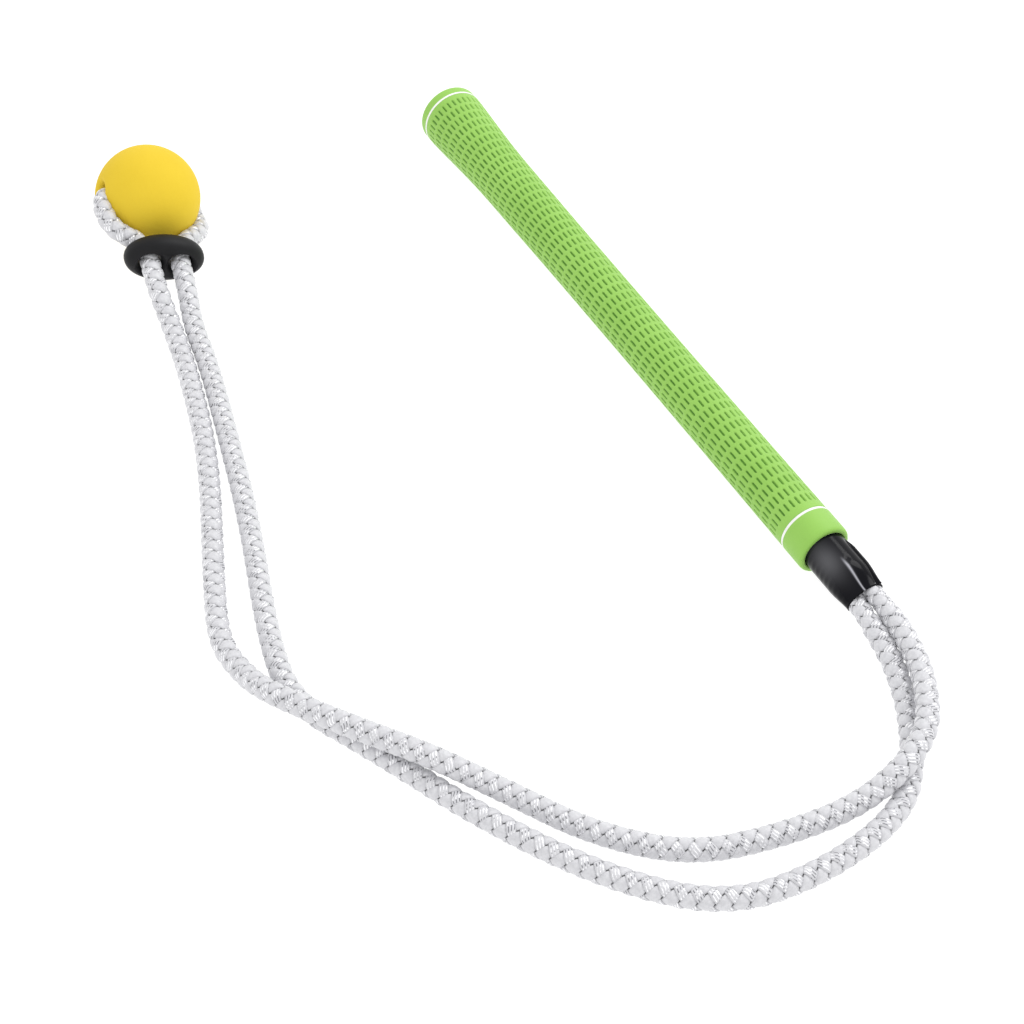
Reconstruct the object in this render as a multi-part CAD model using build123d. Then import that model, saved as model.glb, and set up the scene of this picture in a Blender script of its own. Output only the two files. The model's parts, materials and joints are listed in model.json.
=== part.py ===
"""Golf swing trainer: a rubber grip with one doubled braided rope, a slider and a foam ball.

The handle lies along X with its butt at -X, on a surface at z = 0. The origin is under the
middle of the handle, which runs from the butt to the end of the black shrink sleeve. Both ends
of the rope are crimped inside the handle. The rope runs out, passes through the slider and the
ball, and comes back through the slider to the handle.
"""

import math
import os

from build123d import *

# Handle, in millimetres. Distances along the handle are counted from its butt end.
grip_length = 270.0
butt_radius = 12.6
mouth_radius = 9.75
cap_length = 5.2
vent_radius = 1.5
grip_bore_radius = 7.7
ring_width = 1.0
ring_depth = 0.6
butt_ring_start = 4.6
mouth_ring_start = 258.6
lip_start = 268.4
butt_flat_radius = 11.0
butt_shoulder = (0.6, 12.15)
mouth_opening_radius = 8.2

tube_radius = 7.0
tube_wall = 0.8
tube_end = 285.0
tape_start = 8.0
tape_end = 252.0

ferrule_start = 262.0
ferrule_wall = 0.75
rope_end_gap = 0.1
rope_end_stop = 286.0
pin_radius = 1.25
pin_place = 281.0

sleeve_start = 254.0
sleeve_end = 293.0
sleeve_wall = 0.7
sleeve_mouth_width = 15.0
sleeve_mouth_height = 8.2
sleeve_roll = 20.7
# Where the sleeve is part of the way from its round end to its oval mouth: place, share.
sleeve_neck = (288.5, 0.45)

# Rope, slider and ball.
rope_diameter = 7.7
ball_radius = 20.0
ball_centre = Vector(-145, -130.5, 20)
ball_bore_axis = Vector(-0.13, -0.915, 0.378).normalized()
ball_bore_radius = 4.15
ball_rim_radius = 9.05
ball_flare_start = 14.3
ball_flare_middle = (5.6, 17.2)

slider_centre = Vector(-115.2, -136.67, 14.68)
slider_axis = Vector(22, -5, -1.5).normalized()
slider_across = Vector(2.26, 10.9, -2.95)
slider_width = 30.4
slider_height = 19.2
slider_thickness = 10.5
slider_edge_radius = 5.0
slider_hole_radius = 4.3
slider_hole_flare = 3.6

# The rope's route from its first end in the sleeve to its second.
rope_route = [
    # out of the sleeve, over the other leg and round the wide bend
    (139.5, 3.7, 10.9), (156, 3.4, 10.6), (177, -0.3, 10.4), (191, -8, 11.9),
    (200, -15, 12), (208, -28, 12), (210, -46, 5.4), (207.5, -70, 3.9),
    (200.5, -99, 3.9), (180, -121, 3.9), (155, -136.5, 4.6),
    # the long low hump over the other leg
    (136, -153, 11.6), (119, -166.5, 12.2), (103, -178, 12.2), (88, -186, 9.6),
    # along the surface to the slider
    (74, -188.5, 4.2), (58, -190, 3.9), (32, -180.5, 3.9), (-20, -160, 3.9),
    (-64, -150.2, 3.9), (-86, -147.3, 5.6),
    # straight through the slider's first hole, round the ball and through it
    (-101.06, -145.59, 15.11), (-123.1, -140.58, 16.61),
    (-129.3, -150.3, 22.8), (-141.1, -153.1, 28.05), (-147.4, -147.41, 26.99),
    (-142.6, -113.59, 13.01), (-138.46, -111.96, 5.8), (-129.9, -115.7, 5.5),
    # straight through the slider's second hole and down to the surface
    (-119.72, -129.93, 13.59), (-98.8, -134.69, 12.16),
    (-84, -139, 5.3), (-64, -141.5, 3.9), (-30, -149.2, 3.9), (15, -160, 3.9),
    # under the first leg, round the wide bend and back to the sleeve
    (65, -175.5, 3.9), (92, -179.5, 3.9), (120, -165, 3.9), (160, -147, 3.9),
    (195, -125.5, 3.9), (220, -100, 3.9), (224, -68, 3.9), (218, -36, 3.9),
    (203, -20.5, 3.9), (180, -8.5, 4.5), (158, -4, 7.8), (139.5, -3.7, 8.1),
]
run_share = 0.45
# The rope is pulled round the edge of the slider's second hole, so this arc has that edge's size.
edge_arcs = {(-119.72, -129.93, 13.59): 8.0}


def ring_solid(start, end, outer, inner):
    """A tube along X, from start to end."""
    length = end - start
    middle = Location(((start + end) / 2, 0, 0), (0, 90, 0))
    solid = Cylinder(outer, length)
    if inner:
        solid -= Cylinder(inner, length + 2)
    return middle * solid


def build_grip():
    """The rubber grip as its body, its separately moulded butt cap and two inlaid ring lines."""
    before_ring = mouth_radius - 0.05
    dome = Spline(
        (0, butt_flat_radius),
        butt_shoulder,
        (butt_ring_start, butt_radius),
        tangents=((0, 1), (1, 0.05)),
    )
    taper = Spline(
        (butt_ring_start, butt_radius),
        (12, 12.35),
        (22, 11.75),
        (37, 10.95),
        (75, 10.3),
        (145, 9.8),
        (mouth_ring_start, before_ring),
        tangents=((1, 0.05), (1, 0)),
    )
    lip = ThreePointArc((lip_start, mouth_radius), (269.6, 9.25), (grip_length, mouth_opening_radius))
    outline = [
        Line((0, 0), (0, butt_flat_radius)),
        dome,
        taper,
        Line((mouth_ring_start, before_ring), (lip_start, mouth_radius)),
        lip,
        Line((grip_length, mouth_opening_radius), (grip_length, 0)),
        Line((grip_length, 0), (0, 0)),
    ]
    whole = revolve(make_face(Wire(outline)), Axis.X)
    whole -= ring_solid(cap_length, grip_length + 1, grip_bore_radius, 0)
    whole -= ring_solid(-1, cap_length + 1, vent_radius, 0)

    rings = []
    for start, radius in ((butt_ring_start, butt_radius), (mouth_ring_start, mouth_radius)):
        band = ring_solid(start, start + ring_width, radius + 1, radius - ring_depth)
        rings.append(whole & band)
        whole -= band

    # The cap ends with the butt ring line, and its rim stands a little way round the core tube.
    cap_zone = ring_solid(-1, butt_ring_start + ring_width, butt_radius + 1, 0)
    cap = whole & cap_zone
    body = whole - cap_zone
    return body, cap, rings[0], rings[1]


def build_sleeve():
    """The shrink sleeve: round over the core tube, then drawn in to an oval round the two legs."""
    def skin(grow):
        straight = ring_solid(sleeve_start, tube_end, tube_radius + grow, 0)
        sections = [
            Plane((tube_end, 0, 0), x_dir=(0, 1, 0), z_dir=(1, 0, 0)) * Circle(tube_radius + grow)
        ]
        for place, share in (sleeve_neck, (sleeve_end, 1.0)):
            half_width = tube_radius + (sleeve_mouth_width / 2 - tube_radius) * share + grow
            half_height = tube_radius + (sleeve_mouth_height / 2 - tube_radius) * share + grow
            oval = Rot(0, 0, sleeve_roll) * Ellipse(half_width, half_height)
            sections.append(Plane((place, 0, 0), x_dir=(0, 1, 0), z_dir=(1, 0, 0)) * oval)
        return straight + loft(sections)

    return skin(sleeve_wall) - skin(0)


def build_rope_ends(outer_radius):
    """The two rope ends, pressed to half-round bundles inside the ferrule."""
    bundle = ring_solid(ferrule_start, rope_end_stop, outer_radius, 0)
    slot = Location(((ferrule_start + rope_end_stop) / 2, 0, 0), (sleeve_roll, 0, 0))
    bundle -= slot * Box(grip_length, rope_end_gap, 4 * outer_radius)
    return bundle


def corner_radii(points):
    """The radius of each corner: as large as its two runs allow, or its edge's own size."""
    radii = []
    for before, corner, after in zip(points, points[1:], points[2:]):
        arriving = Vector(*corner) - Vector(*before)
        leaving = Vector(*after) - Vector(*corner)
        half_turn = math.radians(arriving.get_angle(leaving)) / 2
        largest = run_share * min(arriving.length, leaving.length) / math.tan(half_turn)
        radii.append(min(largest, edge_arcs.get(corner, largest)))
    return radii


def build_rope():
    """The whole free rope, as straight runs joined by tangent arcs."""
    radii = corner_radii(rope_route)
    print("rope corner radii:", [round(radius, 1) for radius in radii])
    path = FilletPolyline(*rope_route, radius=radii)
    section = Plane(path @ 0, z_dir=path % 0) * Circle(rope_diameter / 2)
    rope = sweep(section, path=path)
    expected = math.pi * (rope_diameter / 2) ** 2 * path.length
    print("rope length", round(path.length, 1), "volume over section x length", rope.volume / expected)
    return rope


def build_slider():
    """The two-hole slider, oval and rounded all over, with flared holes that meet over the web."""
    face = Ellipse(slider_width / 2, slider_height / 2)
    block = extrude(face, slider_thickness / 2, both=True)
    rims = block.edges().filter_by_position(Axis.Z, -slider_thickness / 2, -slider_thickness / 2)
    rims += block.edges().filter_by_position(Axis.Z, slider_thickness / 2, slider_thickness / 2)
    block = fillet(rims, slider_edge_radius)
    half = slider_thickness / 2
    flare_end = slider_hole_radius + slider_hole_flare
    lean = slider_hole_flare * math.sqrt(0.5)
    neck = half - slider_hole_flare
    upper_flare = ThreePointArc(
        (slider_hole_radius, neck),
        (flare_end - lean, neck + lean),
        (flare_end, half),
    )
    outline = Wire(
        [
            Line((0, 0), (slider_hole_radius, 0)),
            Line((slider_hole_radius, 0), (slider_hole_radius, neck)),
            upper_flare,
            Line((flare_end, half), (flare_end, half + 1)),
            Line((flare_end, half + 1), (0, half + 1)),
            Line((0, half + 1), (0, 0)),
        ]
    )
    half_hole = revolve(Plane.XZ * make_face(outline), Axis.Z)
    spacing = slider_across.length
    for side in (-1, 1):
        hole_place = Pos(side * spacing / 2, 0, 0)
        block -= hole_place * half_hole
        block -= hole_place * mirror(half_hole, Plane.XY)
    place = Plane(slider_centre, x_dir=slider_across, z_dir=slider_axis)
    return place * block


def build_ball():
    """The foam ball with its bore, whose mouths open out where the rope bends round their rim."""
    ball = Sphere(ball_radius)
    rim_depth = math.sqrt(ball_radius**2 - ball_rim_radius**2)
    beyond = ball_radius + 1
    flare = ThreePointArc(
        (ball_bore_radius, ball_flare_start),
        ball_flare_middle,
        (ball_rim_radius, rim_depth),
    )
    mouth = Wire(
        [
            Line((0, 0), (ball_bore_radius, 0)),
            Line((ball_bore_radius, 0), (ball_bore_radius, ball_flare_start)),
            flare,
            Line((ball_rim_radius, rim_depth), (ball_rim_radius, beyond)),
            Line((ball_rim_radius, beyond), (0, beyond)),
            Line((0, beyond), (0, 0)),
        ]
    )
    half_bore = revolve(Plane.XZ * make_face(mouth), Axis.Z)
    ball -= half_bore
    ball -= mirror(half_bore, Plane.XY)
    return Plane(ball_centre, z_dir=ball_bore_axis) * ball


def lay_down(solids):
    """Tip the handle so that its butt and mouth both rest on z = 0, and centre it on X."""
    drop = math.degrees(math.asin((butt_radius - mouth_radius) / (lip_start - butt_ring_start)))
    tipped = {name: Rot(0, drop, 0) * solid for name, solid in solids.items()}
    box = Compound(list(tipped.values())).bounding_box()
    shift = Pos(-(box.min.X + box.max.X) / 2, 0, -box.min.Z)
    return {name: shift * solid for name, solid in tipped.items()}


def build_handle():
    """Every piece of the handle, along X from the butt, before it is laid down."""
    body, cap, butt_ring, mouth_ring = build_grip()
    ferrule_radius = tube_radius - tube_wall
    bundle_radius = ferrule_radius - ferrule_wall
    pin = Location((pin_place, 0, 0)) * Cylinder(pin_radius, 2 * tube_radius)
    pieces = {
        "grip_body": body,
        "butt_cap": cap,
        "butt_ring_line": butt_ring,
        "mouth_ring_line": mouth_ring,
        "grip_tape": ring_solid(tape_start, tape_end, grip_bore_radius, tube_radius),
        "core_tube": ring_solid(cap_length, tube_end, tube_radius, ferrule_radius) - pin,
        "crimp_ferrule": ring_solid(ferrule_start, tube_end, ferrule_radius, bundle_radius) - pin,
        "rope_ends": build_rope_ends(bundle_radius) - pin,
        "anchor_pin": pin & ring_solid(pin_place - 5, pin_place + 5, tube_radius, 0),
        "shrink_sleeve": build_sleeve(),
    }
    return lay_down(pieces)


os.makedirs("parts", exist_ok=True)
model = build_handle()
model["rope"] = build_rope()
model["slider"] = build_slider()
model["ball"] = build_ball()
for name, solid in model.items():
    export_step(solid, f"parts/{name}.step")
    box = solid.bounding_box()
    print(name, "from", [round(v, 2) for v in box.min], "to", [round(v, 2) for v in box.max])
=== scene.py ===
"""Looks of a golf swing trainer: a dimpled rubber grip, a braided rope, a slider and a foam ball.

Everything is in metres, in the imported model's own frame. The handle lies along X, and its axis
comes from the record's vent mount. Sizes named here in millimetres are multiplied by MM.
"""

import json
import math

import bmesh
import bpy
import numpy as np
from mathutils import Matrix, Vector


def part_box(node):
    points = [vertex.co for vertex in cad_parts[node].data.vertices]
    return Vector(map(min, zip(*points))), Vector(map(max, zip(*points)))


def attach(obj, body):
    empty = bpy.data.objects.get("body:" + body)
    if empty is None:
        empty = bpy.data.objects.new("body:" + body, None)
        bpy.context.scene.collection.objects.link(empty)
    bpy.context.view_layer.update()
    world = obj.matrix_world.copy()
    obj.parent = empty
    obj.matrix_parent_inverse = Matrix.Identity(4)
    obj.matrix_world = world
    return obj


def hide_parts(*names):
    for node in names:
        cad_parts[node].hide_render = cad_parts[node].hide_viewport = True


MM = 0.001
GRAIN_FINER = 12  # how much finer a material's relief is than its drift of colour
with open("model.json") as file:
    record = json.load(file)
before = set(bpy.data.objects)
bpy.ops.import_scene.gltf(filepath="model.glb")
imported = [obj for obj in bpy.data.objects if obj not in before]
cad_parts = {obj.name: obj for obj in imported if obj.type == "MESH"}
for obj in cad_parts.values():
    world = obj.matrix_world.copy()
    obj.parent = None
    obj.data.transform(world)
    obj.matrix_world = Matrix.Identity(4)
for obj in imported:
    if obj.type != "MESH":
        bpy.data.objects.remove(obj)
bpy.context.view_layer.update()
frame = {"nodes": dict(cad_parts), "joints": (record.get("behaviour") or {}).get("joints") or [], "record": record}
record = frame["record"]
nodes = frame["nodes"]

# The handle's butt and direction, from the vent mount in its cap.
vent = next(m for m in record["mounts"] if m["name"] == "butt_vent")
BUTT = np.array(vent["pos_m"], float)
ALONG = -np.array(vent["axis"], float)
ALONG = ALONG / np.linalg.norm(ALONG)
SIDE = np.array([0.0, 1.0, 0.0])
UPWARD = np.cross(ALONG, SIDE)


# ---------------------------------------------------------------- mesh and material helpers


def add_mesh(name, points, faces, smooth=True):
    """A new mesh object from points in metres. A closed form's faces are turned outwards."""
    mesh = bpy.data.meshes.new(name)
    mesh.from_pydata([tuple(p) for p in points], [], [tuple(f) for f in faces])
    if len(faces) > 1:
        shell = bmesh.new()
        shell.from_mesh(mesh)
        bmesh.ops.recalc_face_normals(shell, faces=shell.faces)
        shell.to_mesh(mesh)
        shell.free()
    mesh.update()
    mesh.polygons.foreach_set("use_smooth", [smooth] * len(mesh.polygons))
    piece = bpy.data.objects.new(name, mesh)
    bpy.context.scene.collection.objects.link(piece)
    return piece


def grid_faces(rows, columns, close_rows=False, first=0):
    """Quads over rows of points that close on themselves, the last row meeting the first if asked."""
    row = np.arange(rows if close_rows else rows - 1)[:, None]
    column = np.arange(columns)[None, :]
    after_row = (row + 1) % rows
    after_column = (column + 1) % columns
    corners = [
        row * columns + column,
        row * columns + after_column,
        after_row * columns + after_column,
        after_row * columns + column,
    ]
    return first + np.stack(corners, axis=-1).reshape(-1, 4)


def end_faces(rows, columns, first):
    """The two faces that close the first and the last of those rows."""
    last = first + (rows - 1) * columns
    return [list(range(first, first + columns)), list(range(last, last + columns))]


def store(mesh, name, values):
    """A float for each point, which materials read by name."""
    attribute = mesh.attributes.new(name, "FLOAT", "POINT")
    attribute.data.foreach_set("value", np.asarray(values, np.float32).ravel())


def smoothstep(t):
    """Eases from 0 to 1 while t goes from 0 to 1."""
    t = np.clip(t, 0, 1)
    return t * t * (3 - 2 * t)


def new_material(name, roughness, **sockets):
    """A material with its nodes, links and Principled shader. sockets are set on the shader."""
    material = bpy.data.materials.new(name)
    material.use_nodes = True
    tree = material.node_tree
    shader = tree.nodes["Principled BSDF"]
    shader.inputs["Roughness"].default_value = roughness
    for socket, value in sockets.items():
        shader.inputs[socket.replace("_", " ")].default_value = value
    return material, tree, shader


def noise(tree, scale, detail=3.0, rough=0.5, stretch=None):
    """A noise texture over the object's own metres."""
    place = tree.nodes.new("ShaderNodeTexCoord")
    texture = tree.nodes.new("ShaderNodeTexNoise")
    texture.inputs["Scale"].default_value = scale
    texture.inputs["Detail"].default_value = detail
    texture.inputs["Roughness"].default_value = rough
    source = place.outputs["Object"]
    if stretch is not None:
        mapping = tree.nodes.new("ShaderNodeMapping")
        mapping.inputs["Scale"].default_value = stretch
        tree.links.new(source, mapping.inputs["Vector"])
        source = mapping.outputs["Vector"]
    tree.links.new(source, texture.inputs["Vector"])
    return texture.outputs["Fac"]


def ramp(tree, source, stops):
    """Colours at places from 0 to 1."""
    node = tree.nodes.new("ShaderNodeValToRGB")
    elements = node.color_ramp.elements
    while len(elements) < len(stops):
        elements.new(0.5)
    for element, (place, colour) in zip(elements, stops):
        element.position = place
        element.color = (*colour, 1)
    tree.links.new(source, node.inputs["Fac"])
    return node.outputs["Color"]


def mix(tree, factor, first, second):
    """first where factor is 0, second where it is 1. Each is an output or a colour."""
    node = tree.nodes.new("ShaderNodeMix")
    node.data_type = "RGBA"
    tree.links.new(factor, node.inputs[0])
    for socket, value in ((node.inputs[6], first), (node.inputs[7], second)):
        if isinstance(value, tuple):
            socket.default_value = (*value, 1)
        else:
            tree.links.new(value, socket)
    return node.outputs[2]


def math_node(tree, operation, first, second=None):
    """A sum, product or the like. Each input is an output of another node or a number."""
    node = tree.nodes.new("ShaderNodeMath")
    node.operation = operation
    for socket, value in ((node.inputs[0], first), (node.inputs[1], second)):
        if value is None:
            continue
        if isinstance(value, (int, float)):
            socket.default_value = value
        else:
            tree.links.new(value, socket)
    return node.outputs[0]


def attribute(tree, name):
    """A number that the mesh stores for each of its points."""
    node = tree.nodes.new("ShaderNodeAttribute")
    node.attribute_name = name
    return node.outputs["Fac"]


def bump(tree, shader, height, distance, strength=1.0):
    """Fine relief in the shading alone, distance in metres."""
    node = tree.nodes.new("ShaderNodeBump")
    node.inputs["Distance"].default_value = distance
    node.inputs["Strength"].default_value = strength
    tree.links.new(height, node.inputs["Height"])
    tree.links.new(node.outputs["Normal"], shader.inputs["Normal"])


def speckled(name, dark, light, roughness, scale, bump_mm, **sockets):
    """A material whose colour drifts between two shades, with a finer grain in its relief."""
    material, tree, shader = new_material(name, roughness, **sockets)
    colour = ramp(tree, noise(tree, scale, 4), [(0.3, dark), (0.7, light)])
    tree.links.new(colour, shader.inputs["Base Color"])
    bump(tree, shader, noise(tree, scale * GRAIN_FINER, 2), bump_mm * MM)
    return material


def paint(piece, *materials):
    """Gives a piece these materials in place of its own."""
    piece.data.materials.clear()
    for material in materials:
        piece.data.materials.append(material)


# ---------------------------------------------------------------- materials


def grip_rubber():
    """Green moulded rubber: satin, a little darker down in its grooves as painted shade, more so on the side away
    from the lamp.
    """
    material, tree, shader = new_material(
        "grip_rubber", 0.55, Specular_IOR_Level=0.35, Sheen_Weight=0.12, Sheen_Roughness=0.4
    )
    drift = ramp(
        tree,
        noise(tree, 60, 3),
        [(0.3, (0.26, 0.515, 0.083)), (0.7, (0.285, 0.55, 0.096))],
    )
    # Painted shade: the grooves' colour is darkened, more on the side away from the lamp.
    colour = mix(tree, attribute(tree, "groove"), drift, (0.07, 0.23, 0.015))
    tree.links.new(colour, shader.inputs["Base Color"])
    bump(tree, shader, noise(tree, 3500, 2), 0.04 * MM, 0.6)
    return material


FIBRE_RATE = 34.0  # fibres across a strand, as the rate of a sine wave
THREAD_RATE = 11.0  # silver threads across a strand, as the rate of a sine wave
THREAD_ABOVE = 0.55  # a silver thread lies where that wave is higher than this
THREAD_SWAY = 5.0
SWAY_SCALE = 0.5
GLINT_SCALE = 0.45


def noise_along(tree, along, scale):
    """A noise that changes only down the length of a strand."""
    texture = tree.nodes.new("ShaderNodeTexNoise")
    texture.noise_dimensions = "1D"
    texture.inputs["Scale"].default_value = scale
    texture.inputs["Detail"].default_value = 2
    tree.links.new(along, texture.inputs["W"])
    return texture.outputs["Fac"]


def yarn(name, tinsel):
    """Satin braid yarn, with silver threads if tinsel is true.

    The mesh stores across, which is -1 to 1 over a strand, along, which grows down it, and
    painted_shade, which is 1 where the strand is deep in the braid and darkened there as painted shade.
    The silver threads' colour runs from dark to bright down the strand as painted glints.
    """
    material, tree, shader = new_material(name, 0.42, Sheen_Weight=0.15)
    across = attribute(tree, "across")
    along = attribute(tree, "along")
    painted_shade = attribute(tree, "painted_shade")
    fibre = math_node(tree, "SINE", math_node(tree, "MULTIPLY", across, FIBRE_RATE))
    soft = ramp(
        tree,
        noise(tree, 900, 3, 0.6),
        [(0.3, (0.555, 0.555, 0.58)), (0.7, (0.665, 0.665, 0.69))],
    )
    colour = soft
    if tinsel:
        sway = math_node(tree, "MULTIPLY", noise_along(tree, along, SWAY_SCALE), THREAD_SWAY)
        spread = math_node(tree, "MULTIPLY", across, THREAD_RATE)
        wave = math_node(tree, "SINE", math_node(tree, "ADD", spread, sway))
        threads = math_node(tree, "GREATER_THAN", wave, THREAD_ABOVE)
        # Painted glints: the silver threads' colour runs from dark grey to near white down the strand.
        silver = ramp(
            tree,
            noise_along(tree, along, GLINT_SCALE),
            [(0.4, (0.22, 0.22, 0.24)), (0.47, (0.62, 0.62, 0.64)), (0.56, (0.97, 0.97, 0.99))],
        )
        colour = mix(tree, threads, soft, silver)
        tree.links.new(threads, shader.inputs["Metallic"])
    # Painted shade: yarn deep in the braid is darkened almost to black.
    colour = mix(tree, painted_shade, colour, (0.015, 0.015, 0.018))
    tree.links.new(colour, shader.inputs["Base Color"])
    bump(tree, shader, fibre, 0.03 * MM, 0.5)
    return material


def foam():
    """Closed-cell ball foam: matte, with a very fine open grain."""
    material, tree, shader = new_material("ball_foam", 0.8, Specular_IOR_Level=0.2)
    colour = ramp(
        tree,
        noise(tree, 45, 3),
        [(0.3, (0.71, 0.5, 0.03)), (0.7, (0.75, 0.535, 0.036))],
    )
    pores = tree.nodes.new("ShaderNodeTexVoronoi")
    pores.inputs["Scale"].default_value = 1500
    place = tree.nodes.new("ShaderNodeTexCoord")
    tree.links.new(place.outputs["Object"], pores.inputs["Vector"])
    tree.links.new(colour, shader.inputs["Base Color"])
    bump(tree, shader, pores.outputs["Distance"], 0.06 * MM, 0.7)
    return material


def shrink_film():
    """Thin glossy black shrink film with faint wrinkles along the handle, a painted sheen on one side and a
    painted highlight down its crease.
    """
    material, tree, shader = new_material("shrink_film", 0.14, Specular_IOR_Level=0.11)
    # Painted sheen: a grey patch on the black film where a soft reflection falls.
    with_sheen = mix(tree, attribute(tree, "painted_sheen"), (0.002, 0.002, 0.004), (0.085, 0.085, 0.092))
    # Painted highlight: a pale line along the crease.
    colour = mix(tree, attribute(tree, "crease"), with_sheen, (0.42, 0.42, 0.46))
    tree.links.new(colour, shader.inputs["Base Color"])
    bump(tree, shader, noise(tree, 90, 2, stretch=(0.3, 2.0, 2.0)), 0.2 * MM, 0.12)
    return material


rubber = grip_rubber()
film = shrink_film()
ball_foam = foam()
white_yarn = yarn("white_yarn", False)
silver_yarn = yarn("silver_yarn", True)
ring_paint = speckled("ring_paint", (0.8, 0.8, 0.78), (0.88, 0.88, 0.86), 0.4, 300, 0.01)
slider_rubber = speckled(
    "slider_rubber",
    (0.004, 0.004, 0.005),
    (0.007, 0.007, 0.0085),
    0.5,
    160,
    0.03,
    Specular_IOR_Level=0.22,
)
# Painted shade: the core inside the braid is dark, so that gaps between the strands read as deep shade.
core_painted_shade = speckled("rope_core_shade", (0.1, 0.1, 0.11), (0.2, 0.2, 0.21), 0.9, 900, 0.02)
tape = speckled("tape", (0.62, 0.56, 0.45), (0.72, 0.66, 0.55), 0.8, 400, 0.05)
metal = speckled("satin_metal", (0.6, 0.6, 0.62), (0.72, 0.72, 0.74), 0.35, 400, 0.01, Metallic=1.0)

for name, material in (
    ("butt_cap", rubber),
    ("butt_ring_line", ring_paint),
    ("mouth_ring_line", ring_paint),
    ("grip_tape", tape),
    ("core_tube", metal),
    ("crimp_ferrule", metal),
    ("anchor_pin", metal),
    ("rope_ends", white_yarn),
    ("slider", slider_rubber),
):
    paint(nodes[name], material)


# ---------------------------------------------------------------- grip


# Places along the handle are millimetres from the butt. A ring is one row of grooves.
RING_COUNT = 50
RING_PITCH = 4.97
FIRST_RING = 10.0
# A ring with a lower number than the first value has as many grooves as the second. Beyond the last
# of them, up to MIXED_RINGS, odd and even rings have MIXED_DASHES, and the rest have FEWEST_DASHES.
DASHES_BELOW = [(4, 34), (10, 32), (19, 31)]
MIXED_RINGS = 36
MIXED_DASHES = (29, 27)
FEWEST_DASHES = 27
DASH_LENGTH = 3.3
DASH_WIDTH = 0.62
DASH_DEPTH = 0.6
DASH_EDGE = 0.22
GRIP_COLUMNS = 300
# Steps from a ring's middle to the rows of points that shape its grooves.
DASH_ROWS = (-1.85, -1.6, -1.4, -1.0, 0, 1.0, 1.4, 1.6, 1.85)
BODY_START = 5.6
BEFORE_RINGS = [BODY_START, 6.4, 7.6]
AFTER_RINGS = [256.5, 258]
MOUTH_RING = (258.6, 259.6)
RING_INLAY = 0.6
COLLAR_RADIUS = 9.75
COLLAR_ROWS = (MOUTH_RING[1], MOUTH_RING[1] + 0.3, 264, 268.4)
GRIP_END = 270.0
GRIP_BORE = 7.7
# The lip's rounding, from the collar in to the bore, as places and radii.
LIP = [(269.2, 9.62), (269.7, 9.3), (269.95, 8.85), (GRIP_END, 8.2), (269.9, GRIP_BORE + 0.1)]
BORE_ROWS = (269, 200, 130, 60, BODY_START)
# The grooves are darkened as painted shade, deeper on the near side of the grip, the side away from the lamp.
# It is this strong on the average, and differs by this much, as a sine from this angle.
GROOVE_SHADE_STRENGTH = 0.75
GROOVE_SHADE_DIFFERENCE = 0.35
GROOVE_SHADE_FROM = math.radians(-24)
# The outside of the grip, as places and radii.
PROFILE = [(5.6, 12.6), (12, 12.35), (22, 11.75), (37, 10.95), (75, 10.3), (145, 9.8), (258.6, 9.7)]


def grip_radius(place):
    """The grip's outside, a smooth curve through PROFILE, in millimetres."""
    s = np.array([p[0] for p in PROFILE])
    r = np.array([p[1] for p in PROFILE])
    slope = np.gradient(r, s)
    slope[0] = 0
    slope[-1] = 0
    k = np.clip(np.searchsorted(s, place) - 1, 0, len(s) - 2)
    h = s[k + 1] - s[k]
    t = (place - s[k]) / h
    return (
        (2 * t**3 - 3 * t**2 + 1) * r[k]
        + (t**3 - 2 * t**2 + t) * h * slope[k]
        + (3 * t**2 - 2 * t**3) * r[k + 1]
        + (t**3 - t**2) * h * slope[k + 1]
    )


def dashes_in(ring):
    """How many grooves a ring has: fewer as the grip gets thinner, to keep them evenly spaced."""
    for limit, dashes in DASHES_BELOW:
        if ring < limit:
            return dashes
    if ring < MIXED_RINGS:
        return MIXED_DASHES[0] if ring % 2 else MIXED_DASHES[1]
    return FEWEST_DASHES


def groove_share(place, angles, radius):
    """How deep each point of a row is in a groove, from 0 to 1."""
    ring = int(np.clip(round((place - FIRST_RING) / RING_PITCH), 0, RING_COUNT - 1))
    pitch = 2 * math.pi / dashes_in(ring)
    turned = angles / pitch + 0.5 * (ring % 2)
    aside = (turned - np.round(turned)) * pitch * radius
    straight = (DASH_LENGTH - DASH_WIDTH) / 2
    lengthways = max(0.0, abs(place - FIRST_RING - ring * RING_PITCH) - straight)
    away = np.hypot(aside, lengthways)
    return smoothstep((DASH_WIDTH / 2 + DASH_EDGE / 2 - away) / DASH_EDGE)


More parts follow.
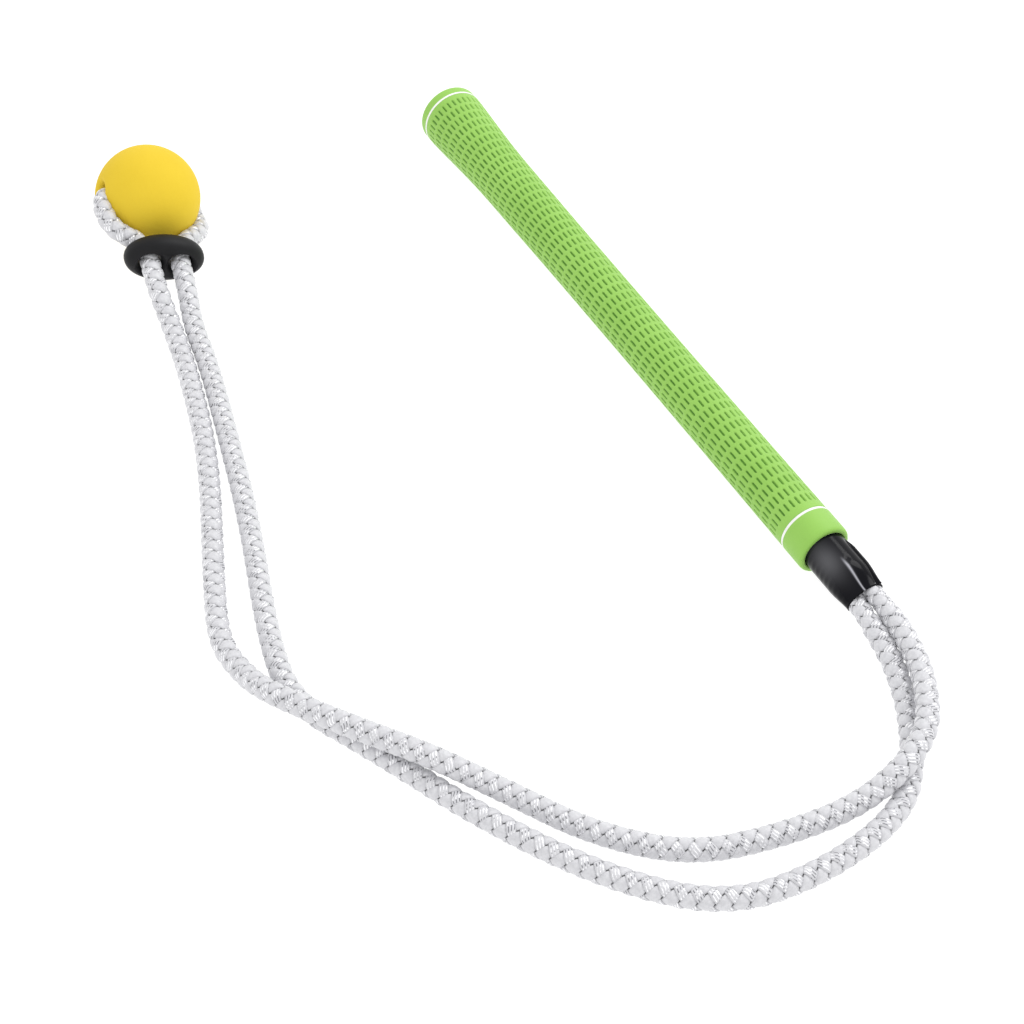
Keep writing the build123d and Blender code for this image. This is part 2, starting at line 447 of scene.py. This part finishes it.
def build_grip():
    """The grip's body: a closed lathe form whose outside is cut by rows of staggered grooves."""
    places = list(BEFORE_RINGS)
    for ring in range(RING_COUNT):
        middle = FIRST_RING + ring * RING_PITCH
        places += [middle + step for step in DASH_ROWS]
    places += [*AFTER_RINGS, MOUTH_RING[0]]
    rows = [(place, float(grip_radius(place)), True) for place in places]
    rows += [(place, COLLAR_RADIUS - RING_INLAY, False) for place in MOUTH_RING]
    rows += [(place, COLLAR_RADIUS, False) for place in COLLAR_ROWS]
    rows += [(place, radius, False) for place, radius in LIP]
    rows += [(place, GRIP_BORE, False) for place in BORE_ROWS]

    angles = np.linspace(0, 2 * math.pi, GRIP_COLUMNS, endpoint=False)
    points = []
    grooves = []
    for place, radius, cut in rows:
        share = groove_share(place, angles, radius) if cut else np.zeros(GRIP_COLUMNS)
        depth = (radius - DASH_DEPTH * share) * MM
        ring = BUTT + ALONG * place * MM + depth[:, None] * (
            np.cos(angles)[:, None] * UPWARD + np.sin(angles)[:, None] * SIDE
        )
        points.append(ring)
        # Painted shade in the grooves, deeper on the side away from the lamp.
        side = np.sin(angles - GROOVE_SHADE_FROM)
        grooves.append(share * (GROOVE_SHADE_STRENGTH - GROOVE_SHADE_DIFFERENCE * side))
    faces = grid_faces(len(rows), GRIP_COLUMNS, close_rows=True)
    grip = add_mesh("grip", np.concatenate(points), faces)
    store(grip.data, "groove", np.concatenate(grooves))
    paint(grip, rubber)
    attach(grip, "handle")
    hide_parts("grip_body")


# ---------------------------------------------------------------- rope


# The CAD's route, but drawn about 3 mm closer round the ball, where it presses into the foam, and
# closer together in the sleeve, where the film squeezes both ends.
ROPE_ROUTE = [
    # out of the sleeve, over the other leg and round the wide bend
    (139.5, 2.8, 10.7), (156, 3.1, 10.6), (177, -0.8, 10.3), (191, -8.4, 11.9),
    (200, -15, 12), (208, -28, 12), (210, -46, 5.4), (207.5, -70, 3.9),
    (200.5, -99, 3.9), (180, -121, 3.9), (155, -136.5, 4.6),
    # the long low hump over the other leg
    (136, -153, 11.6), (119, -166.5, 12.2), (103, -178, 12.2), (88, -186, 9.6),
    # along the surface to the slider
    (74, -188.5, 4.2), (58, -190, 3.9), (32, -180.5, 3.9), (-20, -160, 3.9),
    (-64, -149.6, 3.9), (-86, -146.3, 5.6),
    # straight through the slider's first hole, round the ball and through it
    (-101.06, -145.59, 15.11), (-123.1, -140.58, 16.61),
    (-129.3, -150.3, 22.8), (-140.2, -150.5, 26.9), (-147.1, -145.4, 26.15),
    (-142.85, -115.4, 13.75), (-138.6, -114.95, 6.5), (-130.4, -115.7, 8.2),
    # straight through the slider's second hole and down to the surface
    (-119.72, -129.93, 13.59), (-98.8, -134.69, 12.16),
    (-84, -139, 5.3), (-64, -141.5, 3.9), (-30, -149.2, 3.9), (15, -160, 3.9),
    # under the first leg, round the wide bend and back to the sleeve
    (65, -175.5, 3.9), (92, -179.5, 3.9), (120, -165, 3.9), (160, -147, 3.9),
    (195, -125.5, 3.9), (220, -100, 3.9), (224, -68, 3.9), (218, -36, 3.9),
    (203, -20.8, 3.9), (180, -7.9, 4.6), (158, -3.4, 7.8), (139.5, -2.8, 8.5),
]

STRANDS = 3  # in each of the two directions
BRAID_LEAD = 14.7 * MM  # how far a strand goes in one turn
STEPS_PER_CROSSING = 6
STRAND_POINTS = 10
SILVER_WIDTH = 0.8  # of the room that a strand has
WHITE_WIDTH = 1.0
# How round a strand's section is across and up, and how quickly it rises over another: 1 is a plain
# sine, and less is squarer.
SECTION_ACROSS = 0.8
SECTION_UP = 0.55
WEAVE_SHAPE = 0.6
# The threads' pattern runs on by this much for each millimetre, and starts elsewhere on each strand.
PATTERN_RATE = 1.8
PATTERN_START = 37
CORE_STEP = 2 * MM
CORE_SIDES = 12
ROUTE_SMOOTHNESS = 16
MIDDLE_RADIUS = 2.85 * MM
WEAVE_HEIGHT = 0.38 * MM
STRAND_THICKNESS = 1.3 * MM
CORE_RADIUS = 2.2 * MM
# Yarn this deep in the braid is in shade, fully so after the second length.
SHADE_BELOW = 3.3 * MM
SHADE_OVER = 0.4 * MM
# The film squeezes the two ends of the rope to this share of its radius.
SQUEEZED = 0.86
SQUEEZED_FOR = 13 * MM
SWELLS_OVER = 6 * MM


def rope_line():
    """The points of the rope's centreline, read from the smooth curve through the route."""
    curve = bpy.data.curves.new("rope_route", "CURVE")
    curve.dimensions = "3D"
    curve.resolution_u = ROUTE_SMOOTHNESS
    spline = curve.splines.new("NURBS")
    spline.points.add(len(ROPE_ROUTE) - 1)
    for point, place in zip(spline.points, ROPE_ROUTE):
        point.co = (*[value * MM for value in place], 1)
    spline.order_u = 3
    spline.use_endpoint_u = True
    guide = bpy.data.objects.new("rope_route", curve)
    mesh = bpy.data.meshes.new_from_object(guide)
    line = np.array([v.co for v in mesh.vertices], float)
    bpy.data.objects.remove(guide)
    bpy.data.meshes.remove(mesh)
    bpy.data.curves.remove(curve)
    return line


def frames_along(line):
    """Lengths, tangents and two untwisted normals along a line of points."""
    runs = np.linalg.norm(np.diff(line, axis=0), axis=1)
    lengths = np.concatenate([[0], np.cumsum(runs)])
    tangents = np.gradient(line, lengths, axis=0)
    tangents /= np.linalg.norm(tangents, axis=1)[:, None]
    normal = np.cross(tangents[0], [0, 0, 1])
    normals = []
    for tangent in tangents:
        normal = normal - tangent * (normal @ tangent)
        normal = normal / np.linalg.norm(normal)
        normals.append(normal)
    normals = np.array(normals)
    return lengths, tangents, normals, np.cross(tangents, normals)


def on_rope(frames, line, down, angle, radius):
    """Points at lengths down the rope, at angles round it and radii from its centreline."""
    lengths, _, normals, others = frames
    down = np.clip(down, 0, lengths[-1])

    def at(values):
        return np.stack([np.interp(down, lengths, values[:, k]) for k in range(3)], axis=-1)

    from_end = np.minimum(down, lengths[-1] - down)
    share = SQUEEZED + (1 - SQUEEZED) * smoothstep((from_end - SQUEEZED_FOR) / SWELLS_OVER)
    aside = np.cos(angle)[..., None] * at(normals) + np.sin(angle)[..., None] * at(others)
    return at(line) + (radius * share)[..., None] * aside


def strand(frames, line, index, turn, width):
    """One flat strand: its points, how far across and along it each is, and how much painted shade each has from
    lying deep in the braid.
    """
    rope_length = frames[0][-1]
    crossings = int(rope_length / BRAID_LEAD * 2 * STRANDS)
    other = np.arange(0, crossings + 1, 1 / STEPS_PER_CROSSING)[:, None]
    around = np.linspace(0, 2 * math.pi, STRAND_POINTS, endpoint=False)[None, :]
    across = np.sign(np.cos(around)) * np.abs(np.cos(around)) ** SECTION_ACROSS
    crown = np.sign(np.sin(around)) * np.abs(np.sin(around)) ** SECTION_UP
    own = 0 * other + width / 2 * across
    # The strand rises over every second strand of the other direction and dives under the rest.
    weave = turn * np.cos(math.pi * other)
    lifted = np.sign(weave) * np.abs(weave) ** WEAVE_SHAPE
    radius = MIDDLE_RADIUS + WEAVE_HEIGHT * lifted + STRAND_THICKNESS / 2 * crown
    angle = turn * math.pi * (2 * index + own + other) / STRANDS
    down = BRAID_LEAD * (other - own) / (2 * STRANDS)
    points = on_rope(frames, line, down, angle, radius)
    travelled = other * BRAID_LEAD / (2 * STRANDS) / MM
    along = 0 * across + travelled * PATTERN_RATE + PATTERN_START * index
    painted_shade = smoothstep((SHADE_BELOW - radius) / SHADE_OVER)
    return points, 0 * other + across, along, painted_shade


def build_rope():
    """The doubled rope: plain white strands one way, strands with silver threads the other."""
    line = rope_line()
    frames = frames_along(line)
    points = []
    faces = []
    across = []
    along = []
    painted_shade = []
    slots = []
    count = 0
    for turn, width, slot in ((1, SILVER_WIDTH, 1), (-1, WHITE_WIDTH, 0)):
        for index in range(STRANDS):
            made, over, down, depth = strand(frames, line, index, turn, width)
            rows = made.shape[0]
            quads = grid_faces(rows, STRAND_POINTS, first=count)
            points.append(made.reshape(-1, 3))
            across.append(over.ravel())
            along.append(down.ravel())
            painted_shade.append(depth.ravel())
            faces += quads.tolist() + end_faces(rows, STRAND_POINTS, count)
            slots += [slot] * (len(quads) + 2)
            count += rows * STRAND_POINTS
    core_rows = int(frames[0][-1] / CORE_STEP)
    down = np.linspace(0, frames[0][-1], core_rows)[:, None] + np.zeros((1, CORE_SIDES))
    turned = np.linspace(0, 2 * math.pi, CORE_SIDES, endpoint=False)[None, :] + 0 * down
    core = on_rope(frames, line, down, turned, 0 * down + CORE_RADIUS)
    quads = grid_faces(core_rows, CORE_SIDES, first=count)
    points.append(core.reshape(-1, 3))
    across.append(np.zeros(core_rows * CORE_SIDES))
    along.append(np.zeros(core_rows * CORE_SIDES))
    painted_shade.append(np.ones(core_rows * CORE_SIDES))
    faces += quads.tolist() + end_faces(core_rows, CORE_SIDES, count)
    slots += [2] * (len(quads) + 2)

    rope = add_mesh("rope_braid", np.concatenate(points), faces)
    store(rope.data, "across", np.concatenate(across))
    store(rope.data, "along", np.concatenate(along))
    store(rope.data, "painted_shade", np.concatenate(painted_shade))
    paint(rope, white_yarn, silver_yarn, core_painted_shade)
    rope.data.polygons.foreach_set("material_index", slots)
    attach(rope, "handle")
    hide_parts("rope")
    return rope, line, float(frames[0][-1])


# ---------------------------------------------------------------- ball


BALL_CENTRE = (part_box("ball")[0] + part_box("ball")[1]) / 2
BALL_RADIUS = (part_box("ball")[1].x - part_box("ball")[0].x) / 2
BALL_BORE = 3.9 * MM
BALL_MOUTH_ROUND = 2.2 * MM
BALL_COLUMNS = 96
BALL_ROWS = 60
MOUTH_ROWS = 6


def build_ball():
    """The foam ball, round about its bore, whose mouths are small and softly rounded."""
    joint = next(j for j in frame["joints"] if j["name"] == "ball_spin")
    axis = np.array(joint["axis"], float)
    axis = axis / np.linalg.norm(axis)
    first = np.cross(axis, [0, 0, 1])
    first = first / np.linalg.norm(first)
    second = np.cross(axis, first)

    # The mouth's rounding touches the bore's wall and the sphere.
    centre_out = BALL_BORE + BALL_MOUTH_ROUND
    centre_up = math.sqrt((BALL_RADIUS - BALL_MOUTH_ROUND) ** 2 - centre_out**2)
    leave = math.atan2(centre_up, centre_out)
    rounding = [math.pi - (math.pi - leave) * k / MOUTH_ROWS for k in range(MOUTH_ROWS)]
    sphere = [leave - 2 * leave * k / BALL_ROWS for k in range(BALL_ROWS + 1)]
    outline = [
        (centre_out + BALL_MOUTH_ROUND * math.cos(a), centre_up + BALL_MOUTH_ROUND * math.sin(a))
        for a in rounding
    ]
    outline += [(BALL_RADIUS * math.cos(a), BALL_RADIUS * math.sin(a)) for a in sphere]
    outline += [
        (centre_out + BALL_MOUTH_ROUND * math.cos(a), -centre_up - BALL_MOUTH_ROUND * math.sin(a))
        for a in reversed(rounding)
    ]
    outline += [(BALL_BORE, 0.0)]
    turns = np.linspace(0, 2 * math.pi, BALL_COLUMNS, endpoint=False)
    points = [
        np.array(BALL_CENTRE) + axis * up + out * (math.cos(t) * first + math.sin(t) * second)
        for out, up in outline
        for t in turns
    ]
    ball = add_mesh("foam_ball", points, grid_faces(len(outline), BALL_COLUMNS, close_rows=True))
    paint(ball, ball_foam)
    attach(ball, "ball")
    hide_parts("ball")
    return ball


# ---------------------------------------------------------------- sleeve


SLEEVE_START = 254.5
SLEEVE_END = 293.0
SLEEVE_WALL = 0.5
SLEEVE_ROLL = math.radians(20.7)
TUBE_END = 283.0
SLEEVE_ROUND = 7.6
SLEEVE_WIDE = 6.9
SLEEVE_HIGH = 4.3
SLEEVE_COLUMNS = 192
SLEEVE_ROWS = 78
# A patch of painted sheen, grey on the black film where a soft reflection falls, that fades out over this length
# and angle.
SHEEN_PATCH_PLACE = 278.0
SHEEN_PATCH_ANGLE = math.radians(-45)
SHEEN_PATCH_LENGTH = 7
SHEEN_PATCH_SPREAD = 0.55
# A crease in the film from over the tube's end to the mouth: a faint raised ridge with a pale painted highlight
# along it.
CREASE_START = 279.0
CREASE_OVER = 5
CREASE_ANGLE = math.radians(-11)
CREASE_WIDTH = 0.4
CREASE_HEIGHT = 0.1
# A pressed dent over the anchor pin.
DENT_PLACE = 281
DENT_WIDTH = 0.9
DENT_DEPTH = 0.15
# A thin pinched seam that stands up along the upper far side, with a furrow beside it.
SEAM_ANGLE = math.radians(52)
SEAM_START = 271
SEAM_OVER = 6
SEAM_HEIGHT = 0.75
SEAM_WIDTH = 0.45
FURROW_ASIDE = 1.1
FURROW_DEPTH = 0.45
FURROW_WIDTH = 0.6
# Small puckers down the near side.
PUCKER_ANGLE = math.radians(-80)
PUCKER_SPREAD = 0.4
PUCKER_HEIGHT = 0.07
PUCKER_RATE = 2.6


def sleeve_outside(place, angles):
    """The sleeve's outside radius at one place: round, then drawn in to an oval at its mouth."""
    share = float(smoothstep((place - TUBE_END) / (SLEEVE_END - TUBE_END)))
    wide = SLEEVE_ROUND + (SLEEVE_WIDE - SLEEVE_ROUND) * share
    high = SLEEVE_ROUND + (SLEEVE_HIGH - SLEEVE_ROUND) * share
    rolled = angles + SLEEVE_ROLL
    oval = wide * high / np.hypot(high * np.sin(rolled), wide * np.cos(rolled))
    dent = np.hypot((place - DENT_PLACE) / DENT_WIDTH, angles * SLEEVE_ROUND / DENT_WIDTH)
    oval = oval - DENT_DEPTH * np.exp(-(dent**2))
    beside = (angles - SEAM_ANGLE) * SLEEVE_ROUND
    rise = float(smoothstep((place - SEAM_START) / SEAM_OVER))
    oval = oval + SEAM_HEIGHT * rise * np.exp(-((beside / SEAM_WIDTH) ** 2))
    oval = oval - FURROW_DEPTH * rise * np.exp(-(((beside + FURROW_ASIDE) / FURROW_WIDTH) ** 2))
    pucker = np.exp(-(((angles - PUCKER_ANGLE) / PUCKER_SPREAD) ** 2))
    oval = oval + PUCKER_HEIGHT * pucker * math.sin(place * PUCKER_RATE)
    return oval + CREASE_HEIGHT * crease_highlight_share(place, angles)


def crease_highlight_share(place, angles):
    """How much of the crease, raised and with its pale painted highlight, each point of a row has, from 0 to 1."""
    beside = (angles - CREASE_ANGLE) * SLEEVE_ROUND
    starts = float(smoothstep((place - CREASE_START) / CREASE_OVER))
    return starts * np.exp(-((beside / CREASE_WIDTH) ** 2))


def build_sleeve():
    """The black shrink sleeve, as a thin closed shell."""
    places = np.linspace(SLEEVE_START, SLEEVE_END, SLEEVE_ROWS)
    angles = np.linspace(-math.pi, math.pi, SLEEVE_COLUMNS, endpoint=False)
    directions = np.cos(angles)[:, None] * UPWARD + np.sin(angles)[:, None] * SIDE
    outside = []
    inside = []
    sheen_patches = []
    crease_highlights = []
    for place in places:
        radius = sleeve_outside(place, angles)
        middle = BUTT + ALONG * place * MM
        outside.append(middle + radius[:, None] * MM * directions)
        inside.append(middle + (radius - SLEEVE_WALL)[:, None] * MM * directions)
        down = (place - SHEEN_PATCH_PLACE) / SHEEN_PATCH_LENGTH
        away = np.hypot(down, (angles - SHEEN_PATCH_ANGLE) / SHEEN_PATCH_SPREAD)
        sheen_patches.append(np.exp(-(away**2)))
        crease_highlights.append(crease_highlight_share(place, angles))
    points = np.concatenate(outside + inside[::-1])
    faces = grid_faces(2 * len(places), SLEEVE_COLUMNS, close_rows=True)
    sleeve = add_mesh("sleeve_film", points, faces)
    unmarked = [0 * row for row in sheen_patches]
    store(sleeve.data, "painted_sheen", np.concatenate(sheen_patches + unmarked))
    store(sleeve.data, "crease", np.concatenate(crease_highlights + unmarked))
    paint(sleeve, film)
    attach(sleeve, "handle")
    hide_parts("shrink_sleeve")


build_grip()
rope, rope_path, rope_length = build_rope()
ball = build_ball()
build_sleeve()


# ---------------------------------------------------------------- floor, camera and light


FLOOR_HALF = 3
FLOOR_GLOW = 0.9  # it glows a little, so that it comes out nearly white
CAMERA_PLACE = (0.47227, -0.30911, 0.51966)
CAMERA_DIRECTION = (-0.5957, 0.3263, -0.7339)
CAMERA_LENS = 72.54
SENSOR_WIDTH = 36
WORLD_STRENGTH = 1.08
KEY_PLACE = (-0.25, 0.95, 1.1)
KEY_TARGET = (0, -0.1, 0)
KEY_SIZE = 0.9
KEY_WATTS = 8


def build_floor():
    """A plain pale floor, far wider than the view."""
    corners = [(x * FLOOR_HALF, y * FLOOR_HALF, 0) for x, y in ((-1, -1), (1, -1), (1, 1), (-1, 1))]
    floor = add_mesh("floor", corners, [(0, 1, 2, 3)], smooth=False)
    material, tree, shader = new_material("floor", 0.9, Specular_IOR_Level=0.1)
    colour = ramp(tree, noise(tree, 3, 2), [(0.3, (0.26, 0.26, 0.26)), (0.7, (0.28, 0.28, 0.28))])
    tree.links.new(colour, shader.inputs["Base Color"])
    shader.inputs["Emission Color"].default_value = (1, 1, 1, 1)
    shader.inputs["Emission Strength"].default_value = FLOOR_GLOW
    paint(floor, material)


def aim(thing, place, direction, up):
    """Puts a camera or lamp at a place, looking along direction."""
    forward = Vector(direction).normalized()
    right = forward.cross(Vector(up)).normalized()
    top = right.cross(forward)
    turned = Matrix((right, top, -forward)).transposed().to_4x4()
    thing.matrix_world = Matrix.Translation(Vector(place)) @ turned


def build_camera():
    """The camera stands at the near side of the sleeve and looks down over the whole trainer."""
    camera = bpy.data.objects.new("camera", bpy.data.cameras.new("camera"))
    bpy.context.scene.collection.objects.link(camera)
    camera.data.sensor_width = SENSOR_WIDTH
    camera.data.lens = CAMERA_LENS
    camera.data.clip_start = 0.01
    aim(camera, CAMERA_PLACE, CAMERA_DIRECTION, (0, 0, 1))
    bpy.context.scene.camera = camera


def build_light():
    """An even white studio with one broad lamp high up on the far side."""
    world = bpy.data.worlds.new("studio")
    bpy.context.scene.world = world
    world.use_nodes = True
    background = world.node_tree.nodes["Background"]
    background.inputs["Color"].default_value = (1, 1, 1, 1)
    background.inputs["Strength"].default_value = WORLD_STRENGTH
    lamp = bpy.data.objects.new("key", bpy.data.lights.new("key", "AREA"))
    bpy.context.scene.collection.objects.link(lamp)
    lamp.data.shape = "DISK"
    lamp.data.size = KEY_SIZE
    lamp.data.energy = KEY_WATTS
    aim(lamp, KEY_PLACE, Vector(KEY_TARGET) - Vector(KEY_PLACE), (0.3, 0.1, 1))


build_floor()
build_camera()
build_light()
bpy.context.scene.view_settings.view_transform = "Standard"
